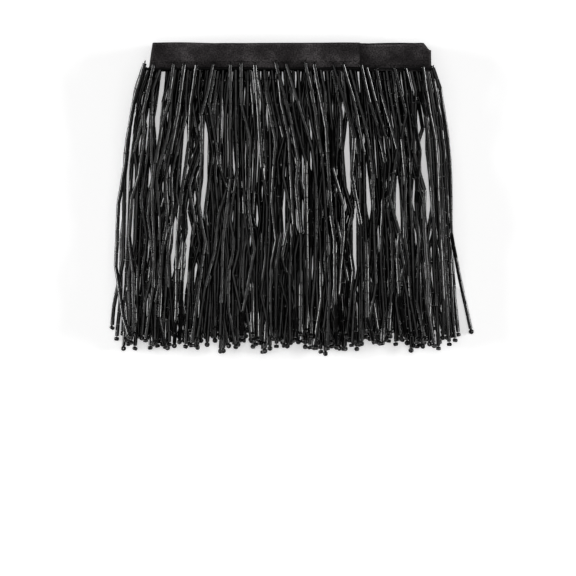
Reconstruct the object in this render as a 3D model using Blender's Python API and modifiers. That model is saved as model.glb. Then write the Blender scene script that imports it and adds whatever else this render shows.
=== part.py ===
"""Beaded fringe trim, wound flat into a bundle of five turns and lying on a table.

The trim is a satin ribbon with strands of glass tube beads sewn side by side along its lower edge.
The ribbon goes round and round, so it makes ten flat layers, and every layer carries a row of strands.
The strands of each row lie over those of the rows below and rest on the table where they reach it.

Units are metres. X runs along the ribbon, Y up across it, away from the strands, and Z up from the table.
The origin is in the middle of the underside of the lowest layer of ribbon.
"""
import math
import random

import bmesh
import bpy
import numpy as np
from mathutils import Vector

# The ribbon
RIBBON_WIDTH = 0.0127
SEAM_WIDTH = 0.0020  # the sewn edge that holds the strands
SHEET = 0.0010
GAP = 0.0003
TURNS = 5
HOLLOW = 0.0015  # the flat space inside the innermost turn
LAYER_PITCH = SHEET + GAP

# The bundle, along X
LEFT_BEND = -0.0731
RIGHT_BEND = 0.0774
FREE_END = 0.0387
INNER_END = 0.0600
BEND_RADIUS = 0.0020
BEND_STEPS = 3
RUN_STEPS = 8
LEFT_FLARE = 0.0019  # the lower edge reaches this much further round the left bend
LEFT_FLARE_FROM = -0.0600
SHOULDER_DROP = 0.0040  # the upper edge falls away round the right bend
SHOULDER_FROM = 0.0724
SHOULDER_TO = 0.0765
EDGE_WAVE = 0.0003
EDGE_WAVE_LENGTH = 0.0900

# The strands
STRAND_SIDE = 0.0020
STRAND_PITCH = 0.0078
FIRST_ROOT = -0.0772
LAST_ROOT = 0.0785
ROOT_SHIFT = 0.0018
BEAD_LENGTH = 0.0067
LENGTH_SPREAD = 0.030
BEADS_IN_RUNS = (2, 3, 3, 5, 4, 2, 3)  # a strand is straight for a few beads, then turns a little
LONGER_SHARE = 0.02  # this share of the strands has one bead more
END_BEAD = 0.0030

# How the strands lie
UPPER_SPREAD = 0.09
LOWER_SPREAD = 0.08
SPREAD_BY = 0.4  # share of the drop over which the strands fan out
WANDER = 0.0034
ROOT_WANDER = 0.0008
WANDER_KEPT = 0.6
OUTWARD_WANDER_LEFT = 0.0025
OUTWARD_WANDER_RIGHT = 0.0004
MAX_LEAN = 0.30
MAX_FALL = 0.35
SWING = 0.0120  # the front rows swing this far to the right below the ribbon
SWING_START = -0.0350
SWING_WIDTH = 0.0250
SWING_LEFT = -0.2
SWING_FADES_FROM = 0.0400
SWING_BY = 0.36
ROOT_TRIES = 24
TRIES = 24
HEIGHT_WEIGHT = 0.5
WANDER_WEIGHT = 0.1
SEED = 8

# Two strands lie clear of the others along the sides of the bundle. Each has its level, its root and
# how far it lies to the right of its root at every turn.
SIDE_STRANDS = (
    (9, -0.0769, (-0.0065, -0.0097, -0.0110, -0.0145, -0.0161, -0.0118, -0.0043)),
    (8, 0.0780, (0.0046, 0.0083, 0.0097, 0.0099, 0.0124, 0.0167, 0.0215)),
)
SIDE_CLEAR = 0.0040

# The strands of all levels part here and show the table: across and depth of both ends of each parting
PARTINGS = (
    (0.0695, 0.0140, 0.0787, 0.1016),
    (-0.0530, 0.0780, -0.0545, 0.1080),
    (-0.0683, 0.0090, -0.0705, 0.0350),
    (0.0300, 0.0200, 0.0331, 0.0634),
    (-0.0440, 0.0400, -0.0450, 0.0680),
    (0.0587, 0.0554, 0.0602, 0.0860),
    (-0.0546, 0.0300, -0.0571, 0.0564),
    (0.0424, 0.0505, 0.0437, 0.0763),
    (0.0358, 0.0785, 0.0362, 0.1059),
    (-0.0600, 0.0800, -0.0625, 0.1059),
)
PARTING_WIDTH = 0.0016
PARTING_WEIGHT = 0.0006  # cost of a crossing at one station

# Towards the tips a strand lies by choice over table that no strand covers yet
CLOSED_FROM = 0.0950
CLOSED_WEIGHT = 0.0003  # gain at one station

# The pile is kept as the position of every strand at even depths below the sewn edge
STATION = 0.0010
DEEPEST = 0.1640
SETTLE_PASSES = 200
SETTLED = 0.000005
ROOT_LENGTH = 0.0015
LEANING_WIDTH = 1.04  # a leaning strand measured across the bundle, against an upright one
ACROSS = STRAND_SIDE * LEANING_WIDTH + GAP
BESIDE_PARTING = (STRAND_SIDE + PARTING_WIDTH) / 2

UPPER_EDGE = RIBBON_WIDTH / 2
SEWN_EDGE = -RIBBON_WIDTH / 2
RIBBON_LOWER_EDGE = SEWN_EDGE + SEAM_WIDTH + GAP
STATIONS = np.arange(0.0, DEEPEST, STATION)

# Colours, as linear red, green and blue
SATIN_BLACK = (0.020, 0.018, 0.018)
SATIN_ROUGHNESS = 0.45
GLASS_BLACK = (0.010, 0.010, 0.012)
GLASS_ROUGHNESS = 0.12


def layer_heights():
    """Height of the middle of each layer of ribbon, lowest first: back layers, hollow, front layers."""
    back = [SHEET / 2 + n * LAYER_PITCH for n in range(TURNS)]
    first_front = back[-1] + SHEET + HOLLOW
    return back + [first_front + n * LAYER_PITCH for n in range(TURNS)]


def smooth_step(value, start, end):
    """0 before start, 1 after end, and a smooth rise between."""
    share = min(1.0, max(0.0, (value - start) / (end - start)))
    return share * share * (3 - 2 * share)


# ---- how the strands lie ----


def spread(share):
    """How much wider the bundle is at this share of the drop than at the ribbon."""
    upper = math.sin(min(share / SPREAD_BY, 1.0) * math.pi / 2)
    return 1 + UPPER_SPREAD * upper + LOWER_SPREAD * share ** 2


def half_height(depth, first_length):
    """A strand is as thin as the ribbon at its root and full size from its first turn on."""
    share = np.clip(depth / first_length, 0, 1)
    return SHEET / 2 + (STRAND_SIDE - SHEET) / 2 * share


def parting_line(upper_across, upper_depth, lower_across, lower_depth):
    """How far across a parting lies at every station, and endlessly far away above and below it."""
    along = (STATIONS - upper_depth) / (lower_depth - upper_depth)
    across = upper_across + (lower_across - upper_across) * along
    return np.where((along >= 0) & (along <= 1), across, np.inf)


class Pile:
    """The strands laid so far: across, height and half height of each at every station."""

    def __init__(self, most):
        self.across = np.full((most, len(STATIONS)), np.inf)
        self.height = np.zeros((most, len(STATIONS)))
        self.half = np.zeros((most, len(STATIONS)))
        self.count = 0
        self.partings = np.array([parting_line(*parting) for parting in PARTINGS])

    def lowest_over(self, start, end, first_length):
        """Shares of a straight run, the lowest heights for its middle there, and its cost."""
        first = math.ceil(start[1] / STATION)
        last = min(len(STATIONS) - 1, math.floor(end[1] / STATION))
        depth = STATIONS[first:last + 1]
        share = (depth - start[1]) / (end[1] - start[1])
        across = start[0] + (end[0] - start[0]) * share
        half = half_height(depth, first_length)
        lowest = half.copy()
        if self.count:
            laid = (slice(0, self.count), slice(first, last + 1))
            near = np.abs(self.across[laid] - across) < ACROSS
            tops = np.where(near, self.height[laid] + self.half[laid], -np.inf).max(axis=0)
            lowest = np.maximum(lowest, tops + GAP + half)
        crossed = np.abs(self.partings[:, first:last + 1] - across) < BESIDE_PARTING
        apart = np.abs(self.across[:self.count, first:last + 1] - across).min(axis=0, initial=np.inf)
        closing = (apart > STRAND_SIDE / 2) & (depth > CLOSED_FROM)
        return share, lowest, PARTING_WEIGHT * crossed.sum() - CLOSED_WEIGHT * closing.sum()

    def lay(self, across, depth, height, first_length):
        reached = STATIONS <= depth[-1] + STATION / 2
        self.across[self.count] = np.where(reached, np.interp(STATIONS, depth, across), np.inf)
        self.height[self.count] = np.interp(STATIONS, depth, height)
        self.half[self.count] = half_height(STATIONS, first_length)
        self.count += 1


def settle(joints, root_height, needs):
    """Heights of the joints: each as low as the pile allows, and straight between them."""
    heights = [root_height]
    for run in range(len(needs)):
        after = needs[run + 1][1][0] if run + 1 < len(needs) else 0.0
        heights.append(max(needs[run][1][-1], after))
    for _ in range(SETTLE_PASSES):
        lift = 0.0
        for run, (share, lowest) in enumerate(needs):
            length = math.dist(joints[run], joints[run + 1])
            heights[run + 1] = max(heights[run + 1], heights[run] - MAX_FALL * length)
            short = lowest - (heights[run] * (1 - share) + heights[run + 1] * share)
            if run == 0:
                short = np.where(share * length < ROOT_LENGTH, 0.0, short)
            worst = int(np.argmax(short))
            if short[worst] < SETTLED:
                continue
            lift = short[worst]
            far = share[worst]
            if run == 0:
                heights[1] += lift / far
            else:
                both = far ** 2 + (1 - far) ** 2
                heights[run] += lift * (1 - far) / both
                heights[run + 1] += lift * far / both
        if lift == 0.0:
            break
    return heights


def swing(level, root):
    """How far a strand of this level drifts to the right just below the ribbon."""
    front = max(0.0, (level - TURNS) / (TURNS - 1))
    rightward = min(1.0, max(SWING_LEFT, (root - SWING_START) / SWING_WIDTH))
    return SWING * front * rightward * (1 - smooth_step(root, SWING_FADES_FROM, LAST_ROOT))


def run_lengths(rng):
    """Length of each straight run of a strand; the last one also carries the round end bead."""
    runs = list(BEADS_IN_RUNS)
    rng.shuffle(runs)
    if rng.random() < LONGER_SHARE:
        runs[-1] += 1
    bead = BEAD_LENGTH * (1 + LENGTH_SPREAD * rng.uniform(-1, 1))
    lengths = [count * bead for count in runs]
    lengths[-1] += END_BEAD
    return lengths


def run_end(start, aim, length):
    """End of a straight run that goes down the bundle and as far aside as it aims to, within its lean."""
    aside = max(-MAX_LEAN * length, min(MAX_LEAN * length, aim - start[0]))
    return (start[0] + aside, start[1] + math.sqrt(length ** 2 - aside ** 2))


def free_aim(level, root, share, wander):
    """Where a strand makes for, across the bundle: its own place there, a drift and some wander."""
    outward = math.copysign(1.0, root)
    most = OUTWARD_WANDER_RIGHT if root > 0 else OUTWARD_WANDER_LEFT
    wander = outward * min(outward * wander, most)
    drift = swing(level, root) * min(1.0, share / SWING_BY)
    return root * spread(share) + drift + wander, wander


def find_way(pile, level, root, lengths, rng):
    """Joints of a strand, run by run, each the lowest of a few likely ways, and the heights they need."""
    root_height = layer_heights()[level]
    joints = []
    needs = []
    wander = 0.0
    for run, length in enumerate(lengths):
        share = sum(lengths[:run + 1]) / sum(lengths)
        tries = TRIES if run else ROOT_TRIES
        best = None
        for _ in range(tries):
            start = joints[-1] if run else (root + rng.uniform(-ROOT_SHIFT, ROOT_SHIFT), 0.0)
            home = joints[0][0] if run else start[0]
            stray = WANDER_KEPT * wander + rng.gauss(0, WANDER if run else ROOT_WANDER)
            aim, stray = free_aim(level, home, share, stray)
            end = run_end(start, aim, length)
            along, lowest, crossing = pile.lowest_over(start, end, lengths[0])
            if run == 0:
                clear = along * length > ROOT_LENGTH
                rise = (lowest - root_height * (1 - along)) / np.maximum(along, SETTLED)
                cost = rise[clear].max() + crossing
            else:
                cost = lowest.max() + HEIGHT_WEIGHT * lowest.mean() + WANDER_WEIGHT * abs(stray) + crossing
            if best is None or cost < best[0]:
                best = (cost, start, end, (along, lowest), stray)
        _, start, end, need, wander = best
        if run == 0:
            joints.append(start)
        joints.append(end)
        needs.append(need)
    return joints, needs


def side_way(pile, root, offsets, lengths):
    """Joints of a side strand by its offsets from the root, and the heights they need."""
    joints = [(root, 0.0)]
    needs = []
    for offset, length in zip(offsets, lengths):
        end = run_end(joints[-1], root + offset, length)
        needs.append(pile.lowest_over(joints[-1], end, lengths[0])[:2])
        joints.append(end)
    return joints, needs


def lay_strand(pile, level, root, offsets=None):
    """Lay one strand on the pile, and give its joints from the root down."""
    rng = random.Random(f"strand {SEED} {level} {root:.4f}")
    lengths = run_lengths(rng)
    if offsets:
        joints, needs = side_way(pile, root, offsets, lengths)
    else:
        joints, needs = find_way(pile, level, root, lengths, rng)
    heights = settle(joints, layer_heights()[level], needs)
    across, depth = np.array(joints).T
    pile.lay(across, depth, heights, lengths[0])
    return [Vector((x, SEWN_EDGE - d, z)) for (x, d), z in zip(joints, heights)]


def strand_rows():
    """The strands of every level, lowest level first, each strand as its joints from the root down."""
    pile = Pile(2 * TURNS * math.ceil((LAST_ROOT - FIRST_ROOT) / STRAND_PITCH + 1))
    rows = []
    for level in range(2 * TURNS):
        end = FREE_END if level == 2 * TURNS - 1 else LAST_ROOT
        first = FIRST_ROOT + random.Random(f"row {SEED} {level}").uniform(0, STRAND_PITCH)
        side = [(root, offsets) for at, root, offsets in SIDE_STRANDS if at == level]
        row = []
        for root in np.arange(first, end, STRAND_PITCH):
            if all(abs(root - taken) > SIDE_CLEAR for taken, _ in side):
                row.append(lay_strand(pile, level, root))
        row += [lay_strand(pile, level, root, offsets) for root, offsets in side]
        rows.append(sorted(row, key=lambda joints: joints[0].x))
    return rows


# ---- building the pieces ----


def material(name, colour, roughness):
    made = bpy.data.materials.new(name)
    made.use_nodes = True
    shader = made.node_tree.nodes["Principled BSDF"]
    shader.inputs["Base Color"].default_value = (*colour, 1.0)
    shader.inputs["Roughness"].default_value = roughness
    shader.inputs["Metallic"].default_value = 0.0
    made.diffuse_color = (*colour, 1.0)
    return made


def add_object(name, bm, surface, collection):
    mesh = bpy.data.meshes.new(name)
    bmesh.ops.recalc_face_normals(bm, faces=bm.faces)
    bm.to_mesh(mesh)
    bm.free()
    mesh.materials.append(surface)
    made = bpy.data.objects.new(name, mesh)
    collection.objects.link(made)
    return made


def bend(across, start, end, outward):
    """The corners of a turn of ribbon round one end of the bundle, from one height to another."""
    radius = min(BEND_RADIUS, abs(end - start) / 2)
    way = math.copysign(1.0, end - start)
    points = []
    for corner, (height, upward) in enumerate(((start, way), (end, -way))):
        for step in range(BEND_STEPS + 1):
            angle = math.pi / 2 * (step if corner == 0 else BEND_STEPS - step) / BEND_STEPS
            x = across - outward * radius * (1 - math.sin(angle))
            points.append((x, height + upward * radius * (1 - math.cos(angle))))
    return points


def straight(start, end):
    """Points between two ends of a flat layer, without the ends."""
    return [tuple(Vector(start).lerp(Vector(end), n / RUN_STEPS)) for n in range(1, RUN_STEPS)]


def wound_line():
    """The ribbon's way through the bundle, seen from its edge, from the free end inwards."""
    heights = layer_heights()
    corners = [[(FREE_END, heights[-1])]]
    for turn in range(TURNS):
        inset = SHEET / 2 + turn * LAYER_PITCH
        corners.append(bend(LEFT_BEND + inset, heights[-1 - turn], heights[turn], -1))
        if turn < TURNS - 1:
            corners.append(bend(RIGHT_BEND - inset, heights[turn], heights[-2 - turn], 1))
    corners.append([(INNER_END, heights[TURNS - 1])])
    line = list(corners[0])
    for corner in corners[1:]:
        line += straight(line[-1], corner[0]) + corner
    return line


def upper_edge(x, z):
    """The ribbon's upper edge: a little wavy, each layer in its own way, and lower round the right bend."""
    wave = EDGE_WAVE * math.sin(math.tau * (x / EDGE_WAVE_LENGTH + z / LAYER_PITCH / TURNS))
    return UPPER_EDGE - EDGE_WAVE + wave - SHOULDER_DROP * smooth_step(x, SHOULDER_FROM, SHOULDER_TO)


def lower_edge_shift(x):
    """How much further out the lower edge goes at the left bend."""
    return -LEFT_FLARE * smooth_step(-x, -LEFT_FLARE_FROM, -LEFT_BEND)


def build_ribbon(surface, collection):
    bm = bmesh.new()
    line = [bm.verts.new((x, upper_edge(x, z), z)) for x, z in wound_line()]
    edges = [bm.edges.new(pair) for pair in zip(line, line[1:])]
    grown = bmesh.ops.extrude_edge_only(bm, edges=edges)["geom"]
    for vert in (item for item in grown if isinstance(item, bmesh.types.BMVert)):
        vert.co.y = RIBBON_LOWER_EDGE
        vert.co.x += lower_edge_shift(vert.co.x)
    ribbon = add_object("satin_ribbon", bm, surface, collection)
    thicken = ribbon.modifiers.new("thickness", "SOLIDIFY")
    thicken.thickness = SHEET
    thicken.offset = 0.0
    thicken.use_even_offset = True
    return ribbon


def seam(bm, row, height):
    """The sewn edge of one layer, a flat strip with a square face for every strand to grow from."""
    half = STRAND_SIDE / 2
    sides = [row[0][0].x - STRAND_SIDE]
    for joints in row:
        sides += [joints[0].x - half, joints[0].x + half]
    sides.append(row[-1][0].x + STRAND_SIDE)
    line = [bm.verts.new((x, SEWN_EDGE, height - SHEET / 2)) for x in sides]
    edges = [bm.edges.new(pair) for pair in zip(line, line[1:])]
    grown = bmesh.ops.extrude_edge_only(bm, edges=edges)["geom"]
    back = [item for item in grown if isinstance(item, bmesh.types.BMVert)]
    bmesh.ops.translate(bm, verts=back, vec=(0, SEAM_WIDTH, 0))
    grown = bmesh.ops.extrude_face_region(bm, geom=bm.faces[:], use_keep_orig=True)["geom"]
    top = [item for item in grown if isinstance(item, bmesh.types.BMVert)]
    bmesh.ops.translate(bm, verts=top, vec=(0, 0, SHEET))
    bmesh.ops.recalc_face_normals(bm, faces=bm.faces)
    front = [face for face in bm.faces if face.normal.y < -0.5]
    front.sort(key=lambda face: face.calc_center_median().x)
    return front[1::2]


def sideways(joints, place):
    """Across a strand at one of its joints, long enough to keep its width round the turn."""
    flat = [Vector((joint.x, joint.y)) for joint in joints]
    before = (flat[place] - flat[max(place - 1, 0)]).normalized()
    after = (flat[min(place + 1, len(flat) - 1)] - flat[place]).normalized()
    ahead = (before + after).normalized()
    stretch = 1 / max(ahead.dot(before), ahead.dot(after))
    return Vector((-ahead.y, ahead.x, 0)) * stretch


def grow_strand(bm, face, joints):
    """Draw one strand out of its square in the seam, from joint to joint."""
    half = STRAND_SIDE / 2
    across = Vector((1, 0, 0))
    for place in range(1, len(joints)):
        next_across = sideways(joints, place)
        face = bmesh.ops.extrude_discrete_faces(bm, faces=[face])["faces"][0]
        for vert in face.verts:
            off = vert.co - joints[place - 1]
            side = math.copysign(half, off.dot(across))
            up = math.copysign(half, off.z)
            vert.co = joints[place] + next_across * side + Vector((0, 0, up))
        across = next_across


def build_strands(name, row, height, surface, collection):
    bm = bmesh.new()
    for face, joints in zip(seam(bm, row, height), row):
        grow_strand(bm, face, joints)
    return add_object(name, bm, surface, collection)


def main():
    for old in list(bpy.data.objects):
        bpy.data.objects.remove(old, do_unlink=True)
    trim = bpy.data.collections.new("beaded_fringe_trim")
    bpy.context.scene.collection.children.link(trim)
    build_ribbon(material("satin_ribbon", SATIN_BLACK, SATIN_ROUGHNESS), trim)
    heights = layer_heights()
    for level, row in enumerate(strand_rows()):
        side, number = ("back", level + 1) if level < TURNS else ("front", level - TURNS + 1)
        name = f"strands_{side}_{number}"
        surface = material(name, GLASS_BLACK, GLASS_ROUGHNESS)
        build_strands(name, row, heights[level], surface, trim)


main()
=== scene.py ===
# %% [markdown]
# # A beaded fringe trim, wound flat
#
# A fringe like this is a satin ribbon with strands of glass tube beads sewn side by side along its
# lower edge. For storage it is wound flat, so the ribbon runs in ten layers and the strands of all the
# layers lie over one another like a pile of straight hair.
#
# The collision model has one plain solid for each row of strands. Here each row gets its real beads,
# and the ribbon gets its thin folded satin, its stitches and its thread.

# %% Start from the fixed frame
import math
import random

import bpy
import numpy as np
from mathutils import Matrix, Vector


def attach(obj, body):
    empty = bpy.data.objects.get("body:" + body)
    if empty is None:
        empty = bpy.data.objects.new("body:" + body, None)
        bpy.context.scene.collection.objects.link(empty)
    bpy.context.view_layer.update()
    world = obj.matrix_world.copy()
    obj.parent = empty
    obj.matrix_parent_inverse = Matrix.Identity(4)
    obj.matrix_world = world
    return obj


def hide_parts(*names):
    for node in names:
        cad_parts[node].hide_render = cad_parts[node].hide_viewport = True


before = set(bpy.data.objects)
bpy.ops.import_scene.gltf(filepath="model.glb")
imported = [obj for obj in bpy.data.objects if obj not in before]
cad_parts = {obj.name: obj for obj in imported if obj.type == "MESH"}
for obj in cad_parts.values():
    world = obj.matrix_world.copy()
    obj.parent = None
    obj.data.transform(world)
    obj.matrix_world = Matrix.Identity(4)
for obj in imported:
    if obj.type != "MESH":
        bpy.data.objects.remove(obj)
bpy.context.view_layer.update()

# %% [markdown]
# ## The sizes of the trim
#
# The ribbon is half an inch wide. It is wound into five turns, so there are five layers below and five
# above a flat hollow. A strand is 22 tube beads long and ends in a round bead that stops the thread.
# All lengths are in metres: X runs along the ribbon, Y across it and Z up from the table.

# %% Sizes
RIBBON_WIDTH = 0.0127
SHEET = 0.0010
GAP = 0.0003
TURNS = 5
HOLLOW = 0.0015
LAYER_PITCH = SHEET + GAP
LEFT_BEND = -0.0731
RIGHT_BEND = 0.0774
FREE_END = 0.0387
INNER_END = 0.0600
SEWN_EDGE = -RIBBON_WIDTH / 2
STRAND_SIDE = 0.0020
STRAND_PITCH = 0.0078
FIRST_ROOT = -0.0772
LAST_ROOT = 0.0785
BEAD_PITCH = 0.0067
END_BEAD = 0.0030
BEADS_IN_RUNS = (2, 3, 3, 5, 4, 2, 3)
SEED = 8


def layer_heights():
    """Height of the middle of each layer of ribbon: even steps, with the hollow between front and back."""
    back = [SHEET / 2 + n * LAYER_PITCH for n in range(TURNS)]
    first_front = back[-1] + SHEET + HOLLOW
    return back + [first_front + n * LAYER_PITCH for n in range(TURNS)]


def smooth_step(value, start, end):
    """0 before start, 1 after end, and between them 3 s squared less 2 s cubed of the share s."""
    share = np.clip((value - start) / (end - start), 0.0, 1.0)
    return share * share * (3 - 2 * share)


print("layers at", [round(height * 1000, 1) for height in layer_heights()], "mm")

# %% [markdown]
# ## How a strand finds its place
#
# Strands could be dropped with a physics simulation, but two hundred chains of beads would take very
# long. Instead each strand is laid down one straight run of a few beads after another. For every run a
# few likely ways are tried and the lowest is kept, just as a real strand slides off the tops of the
# strands below it. The pile remembers where every strand is at even depths below the ribbon, so the
# lowest height of a new run is found with one comparison of whole arrays.
#
# Long strands part here and there like combed hair, and the table shows through all ten layers. Each
# parting is a straight line, and a run that crosses one costs more than a run beside it. Towards the
# tips the strands spread and close up again, so there a run over bare table costs less.

# %% The partings between the strands
STATION = 0.0010
DEEPEST = 0.1640
STATIONS = np.arange(0.0, DEEPEST, STATION)
PARTINGS = (
    (0.0695, 0.0140, 0.0787, 0.1016),
    (-0.0530, 0.0780, -0.0545, 0.1080),
    (-0.0683, 0.0090, -0.0705, 0.0350),
    (0.0300, 0.0200, 0.0331, 0.0634),
    (-0.0440, 0.0400, -0.0450, 0.0680),
    (0.0587, 0.0554, 0.0602, 0.0860),
    (-0.0546, 0.0300, -0.0571, 0.0564),
    (0.0424, 0.0505, 0.0437, 0.0763),
    (0.0358, 0.0785, 0.0362, 0.1059),
    (-0.0600, 0.0800, -0.0625, 0.1059),
)
PARTING_WIDTH = 0.0016
PARTING_WEIGHT = 0.0006
CLOSED_FROM = 0.0950
CLOSED_WEIGHT = 0.0003
BESIDE_PARTING = (STRAND_SIDE + PARTING_WIDTH) / 2


def parting_line(upper_across, upper_depth, lower_across, lower_depth):
    """Straight from one end to the other: across at every station, and endlessly far beyond its ends."""
    along = (STATIONS - upper_depth) / (lower_depth - upper_depth)
    across = upper_across + (lower_across - upper_across) * along
    return np.where((along >= 0) & (along <= 1), across, np.inf)


# %% The pile of strands
LEANING_WIDTH = 1.04
ACROSS = STRAND_SIDE * LEANING_WIDTH + GAP


def half_height(depth, first_length):
    """Half the thickness of a strand: from the ribbon's at its root to its own at the first turn."""
    share = np.clip(depth / first_length, 0, 1)
    return SHEET / 2 + (STRAND_SIDE - SHEET) / 2 * share


class Pile:
    """The strands laid so far: across, height and half height of each at every station."""

    def __init__(self, most):
        self.across = np.full((most, len(STATIONS)), np.inf)
        self.height = np.zeros((most, len(STATIONS)))
        self.half = np.zeros((most, len(STATIONS)))
        self.count = 0
        self.partings = np.array([parting_line(*parting) for parting in PARTINGS])

    def lowest_over(self, start, end, first_length):
        """Shares of a straight run, its lowest heights there, and its cost.

        The cost grows with the partings crossed, and falls with the bare table covered near the tips.
        """
        first = math.ceil(start[1] / STATION)
        last = min(len(STATIONS) - 1, math.floor(end[1] / STATION))
        depth = STATIONS[first:last + 1]
        share = (depth - start[1]) / (end[1] - start[1])
        across = start[0] + (end[0] - start[0]) * share
        half = half_height(depth, first_length)
        lowest = half.copy()
        if self.count:
            laid = (slice(0, self.count), slice(first, last + 1))
            near = np.abs(self.across[laid] - across) < ACROSS
            tops = np.where(near, self.height[laid] + self.half[laid], -np.inf).max(axis=0)
            lowest = np.maximum(lowest, tops + GAP + half)
        crossed = np.abs(self.partings[:, first:last + 1] - across) < BESIDE_PARTING
        apart = np.abs(self.across[:self.count, first:last + 1] - across).min(axis=0, initial=np.inf)
        closing = (apart > STRAND_SIDE / 2) & (depth > CLOSED_FROM)
        return share, lowest, PARTING_WEIGHT * crossed.sum() - CLOSED_WEIGHT * closing.sum()

    def lay(self, across, depth, height, first_length):
        """Add a strand to the pile: its joints, made straight from one to the next at every station."""
        reached = STATIONS <= depth[-1] + STATION / 2
        self.across[self.count] = np.where(reached, np.interp(STATIONS, depth, across), np.inf)
        self.height[self.count] = np.interp(STATIONS, depth, height)
        self.half[self.count] = half_height(STATIONS, first_length)
        self.count += 1


# %% Letting the turns of a strand come to rest
MAX_FALL = 0.35
SETTLE_PASSES = 200
SETTLED = 0.000005
ROOT_LENGTH = 0.0015


def settle(joints, root_height, needs):
    """Heights of the joints: start low, then lift both ends of any run that cuts into the pile."""
    heights = [root_height]
    for run in range(len(needs)):
        after = needs[run + 1][1][0] if run + 1 < len(needs) else 0.0
        heights.append(max(needs[run][1][-1], after))
    for _ in range(SETTLE_PASSES):
        lift = 0.0
        for run, (share, lowest) in enumerate(needs):
            length = math.dist(joints[run], joints[run + 1])
            heights[run + 1] = max(heights[run + 1], heights[run] - MAX_FALL * length)
            short = lowest - (heights[run] * (1 - share) + heights[run + 1] * share)
            if run == 0:
                short = np.where(share * length < ROOT_LENGTH, 0.0, short)
            worst = int(np.argmax(short))
            if short[worst] < SETTLED:
                continue
            lift = short[worst]
            far = share[worst]
            if run == 0:
                heights[1] += lift / far
            else:
                both = far ** 2 + (1 - far) ** 2
                heights[run] += lift * (1 - far) / both
                heights[run + 1] += lift * far / both
        if lift == 0.0:
            break
    return heights


# %% [markdown]
# ## Where a strand makes for
#
# The bundle fans out a little towards the tips, and the upper rows swing to the right just below the
# ribbon. On top of that every strand wanders a few millimetres, which makes the thin crossings and gaps
# that a real pile of beaded strands has.

# %% The drift of the strands
UPPER_SPREAD = 0.09
LOWER_SPREAD = 0.08
SPREAD_BY = 0.4
WANDER = 0.0034
ROOT_WANDER = 0.0008
WANDER_KEPT = 0.6
OUTWARD_WANDER_LEFT = 0.0025
OUTWARD_WANDER_RIGHT = 0.0004
MAX_LEAN = 0.30
SWING = 0.0120
SWING_START = -0.0350
SWING_WIDTH = 0.0250
SWING_LEFT = -0.2
SWING_FADES_FROM = 0.0400
SWING_BY = 0.36


def spread(share):
    """How much wider the bundle is at this share of the drop: a quarter sine wave plus a square."""
    upper = math.sin(min(share / SPREAD_BY, 1.0) * math.pi / 2)
    return 1 + UPPER_SPREAD * upper + LOWER_SPREAD * share ** 2


def swing(level, root):
    """How far a strand of this level drifts to the right just below the ribbon."""
    front = max(0.0, (level - TURNS) / (TURNS - 1))
    rightward = min(1.0, max(SWING_LEFT, (root - SWING_START) / SWING_WIDTH))
    return SWING * front * rightward * (1 - smooth_step(root, SWING_FADES_FROM, LAST_ROOT))


def run_end(start, aim, length):
    """End of a straight run that goes down the bundle and as far aside as it aims to, within its lean."""
    aside = max(-MAX_LEAN * length, min(MAX_LEAN * length, aim - start[0]))
    return (start[0] + aside, start[1] + math.sqrt(length ** 2 - aside ** 2))


def free_aim(level, root, share, wander):
    """The place across the bundle that a strand makes for: its own place there, a drift and a wander."""
    outward = math.copysign(1.0, root)
    most = OUTWARD_WANDER_RIGHT if root > 0 else OUTWARD_WANDER_LEFT
    wander = outward * min(outward * wander, most)
    drift = swing(level, root) * min(1.0, share / SWING_BY)
    return root * spread(share) + drift + wander, wander


# %% Laying one strand
LENGTH_SPREAD = 0.030
LONGER_SHARE = 0.02
ROOT_SHIFT = 0.0018
ROOT_TRIES = 24
TRIES = 24
HEIGHT_WEIGHT = 0.5
WANDER_WEIGHT = 0.1


def run_lengths(rng):
    """Beads in each straight run and its length; the last one also carries the round end bead."""
    counts = list(BEADS_IN_RUNS)
    rng.shuffle(counts)
    if rng.random() < LONGER_SHARE:
        counts[-1] += 1
    bead = BEAD_PITCH * (1 + LENGTH_SPREAD * rng.uniform(-1, 1))
    lengths = [count * bead for count in counts]
    lengths[-1] += END_BEAD
    return counts, lengths


def find_way(pile, level, root, lengths, rng):
    """Joints of a strand, each run the lowest of a few likely ways, and the heights they need."""
    root_height = layer_heights()[level]
    joints = []
    needs = []
    wander = 0.0
    for run, length in enumerate(lengths):
        share = sum(lengths[:run + 1]) / sum(lengths)
        tries = TRIES if run else ROOT_TRIES
        best = None
        for _ in range(tries):
            start = joints[-1] if run else (root + rng.uniform(-ROOT_SHIFT, ROOT_SHIFT), 0.0)
            home = joints[0][0] if run else start[0]
            stray = WANDER_KEPT * wander + rng.gauss(0, WANDER if run else ROOT_WANDER)
            aim, stray = free_aim(level, home, share, stray)
            end = run_end(start, aim, length)
            along, lowest, extra = pile.lowest_over(start, end, lengths[0])
            if run == 0:
                clear = along * length > ROOT_LENGTH
                rise = (lowest - root_height * (1 - along)) / np.maximum(along, SETTLED)
                cost = rise[clear].max() + extra
            else:
                cost = lowest.max() + HEIGHT_WEIGHT * lowest.mean() + WANDER_WEIGHT * abs(stray) + extra
            if best is None or cost < best[0]:
                best = (cost, start, end, (along, lowest), stray)
        _, start, end, need, wander = best
        if run == 0:
            joints.append(start)
        joints.append(end)
        needs.append(need)
    return joints, needs


def side_way(pile, root, offsets, lengths):
    """Joints of a side strand by its offsets from the root, and the heights they need."""
    joints = [(root, 0.0)]
    needs = []
    for offset, length in zip(offsets, lengths):
        end = run_end(joints[-1], root + offset, length)
        needs.append(pile.lowest_over(joints[-1], end, lengths[0])[:2])
        joints.append(end)
    return joints, needs


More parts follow.
